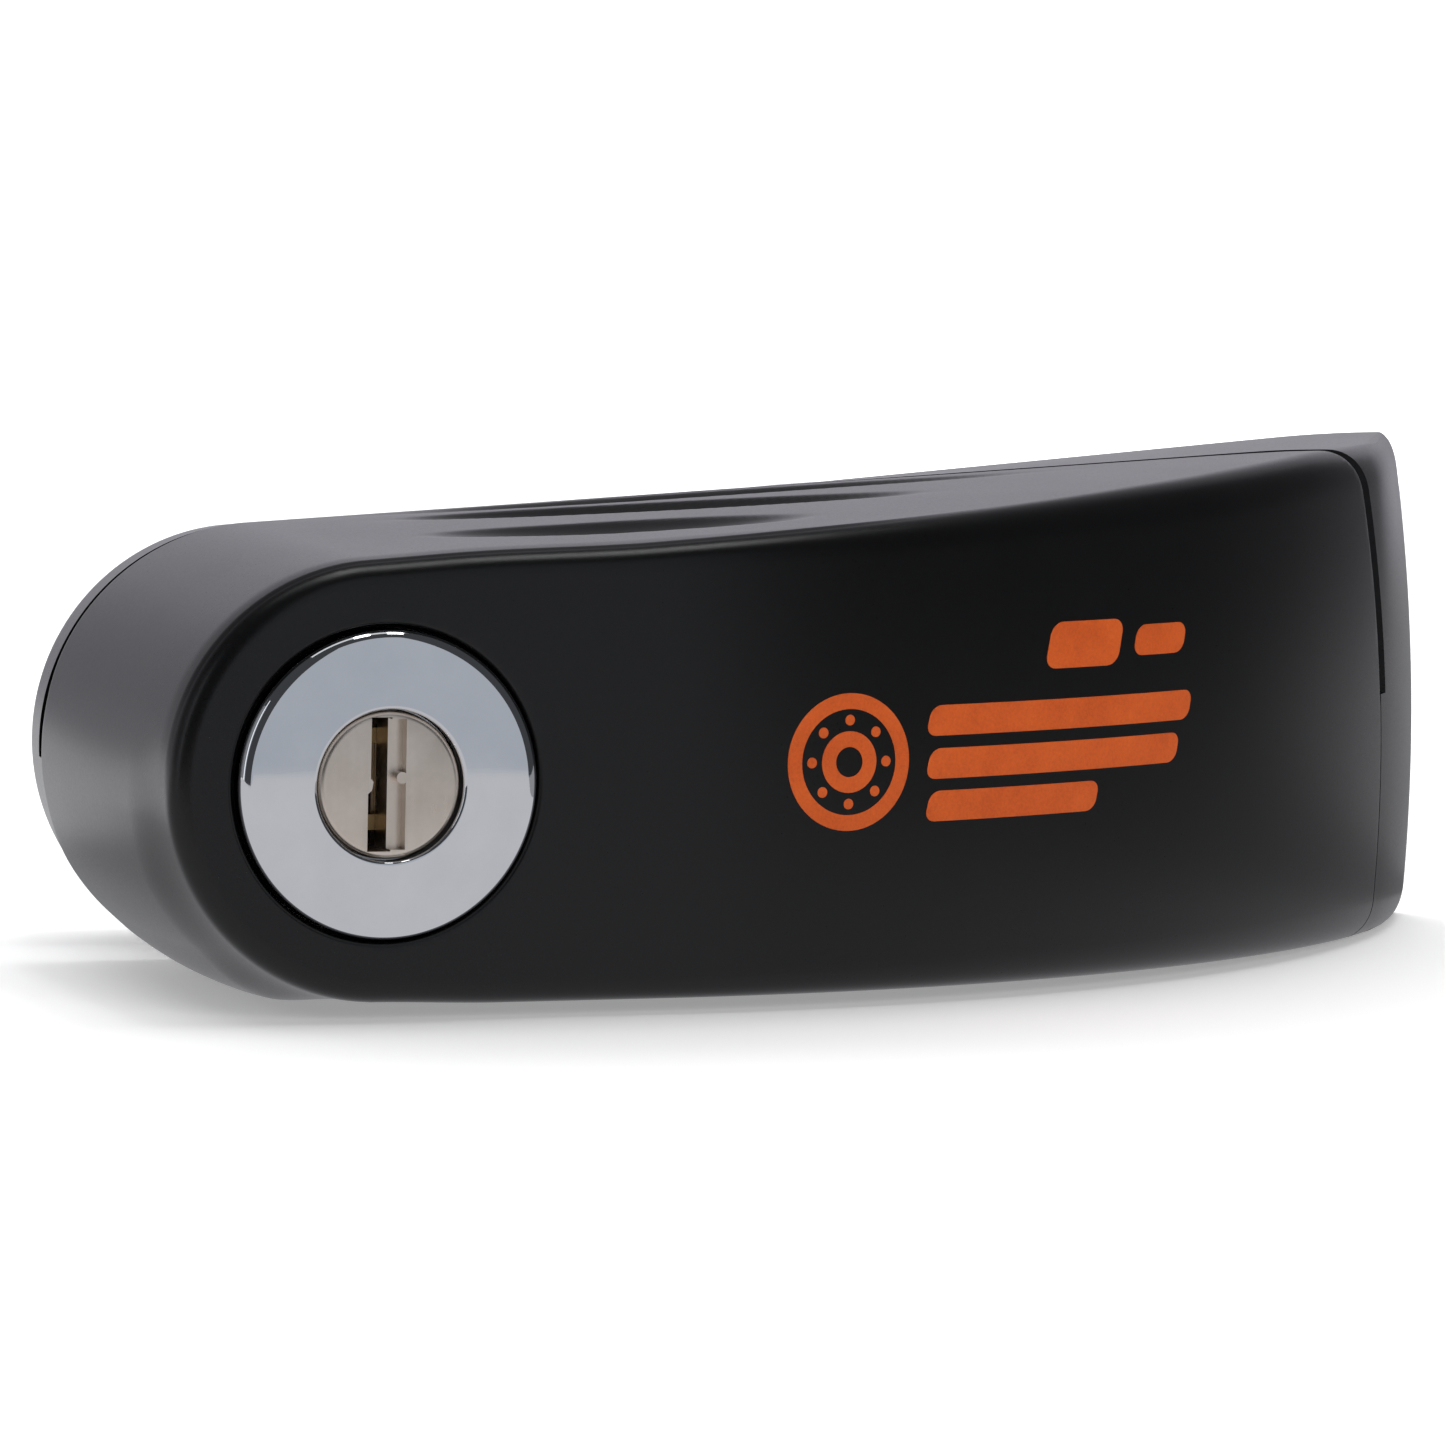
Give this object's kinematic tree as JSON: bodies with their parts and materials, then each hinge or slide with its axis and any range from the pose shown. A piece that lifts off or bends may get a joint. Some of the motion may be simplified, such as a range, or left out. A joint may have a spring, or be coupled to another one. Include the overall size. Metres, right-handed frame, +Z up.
{
  "type": "motorcycle disc brake lock",
  "caption": "Motorcycle disc brake lock: black cast body, rounded at the key end, with a push-in chrome key cylinder whose pin crosses an open disc slot at the back.",
  "frame": {"origin": "locking pin axis at the middle plane of the disc slot", "axes": "+X from the key cylinder to the closed bridge end, +Y from the key side to the back, +Z up; the disc enters along the slot from -X"},
  "size_m": [0.106, 0.0511, 0.0352],
  "materials": {
    "cast_black": "satin black coating over a zinc and steel body",
    "hard_steel": "ground hardened steel",
    "zinc_steel": "bright zinc plated steel",
    "chrome_cap": "polished chrome",
    "nickel_plug": "satin nickel plated brass",
    "brass_wafer": "machined brass",
    "spring_steel": "drawn spring wire",
    "rubber": "moulded nitrile rubber",
    "liner_plastic": "moulded polyamide"
  },
  "bodies": {
    "housing": {"front_shell": "cast_black", "rear_frame": "cast_black", "guide_sleeve": "hard_steel", "guide_screw": "zinc_steel", "wiper_seal": "rubber", "pin_bush": "hard_steel", "throat_liner": "liner_plastic", "long_screws": "zinc_steel", "flush_screws": "zinc_steel", "dowel_pins": "hard_steel", "return_spring": "spring_steel"},
    "plunger": {"cylinder_cap": "chrome_cap", "cylinder_barrel": "zinc_steel", "drill_rods": "hard_steel", "pin_carrier": "zinc_steel", "carrier_screws": "zinc_steel", "barrel_oring": "rubber", "locking_pin": "hard_steel", "cross_pin": "hard_steel", "latch_spring": "spring_steel"},
    "key_plug": {"key_plug": "nickel_plug", "plug_wafers": "brass_wafer", "wafer_springs": "spring_steel", "plug_circlip": "spring_steel", "tail_cam": "zinc_steel"},
    "latch": {"latch_bolt": "hard_steel"}
  },
  "joints": [
    {"name": "plunger_slide", "type": "slide", "parent": "housing", "child": "plunger", "axis": [0, -1, 0], "range_m": [0, 0.014], "deforming": ["return_spring"]},
    {"name": "key_turn", "type": "hinge", "parent": "plunger", "child": "key_plug", "pos_m": [0, -0.037, 0], "axis": [0, 1, 0], "range_deg": [0, 90]},
    {"name": "latch_slide", "type": "slide", "parent": "plunger", "child": "latch", "axis": [0, 0, 1], "range_m": [0, 0.00241], "deforming": ["latch_spring"]}
  ],
  "couplings": [
    {"joint": "latch_slide", "follows": "key_turn", "m_per_rad": 0.0015306}
  ]
}
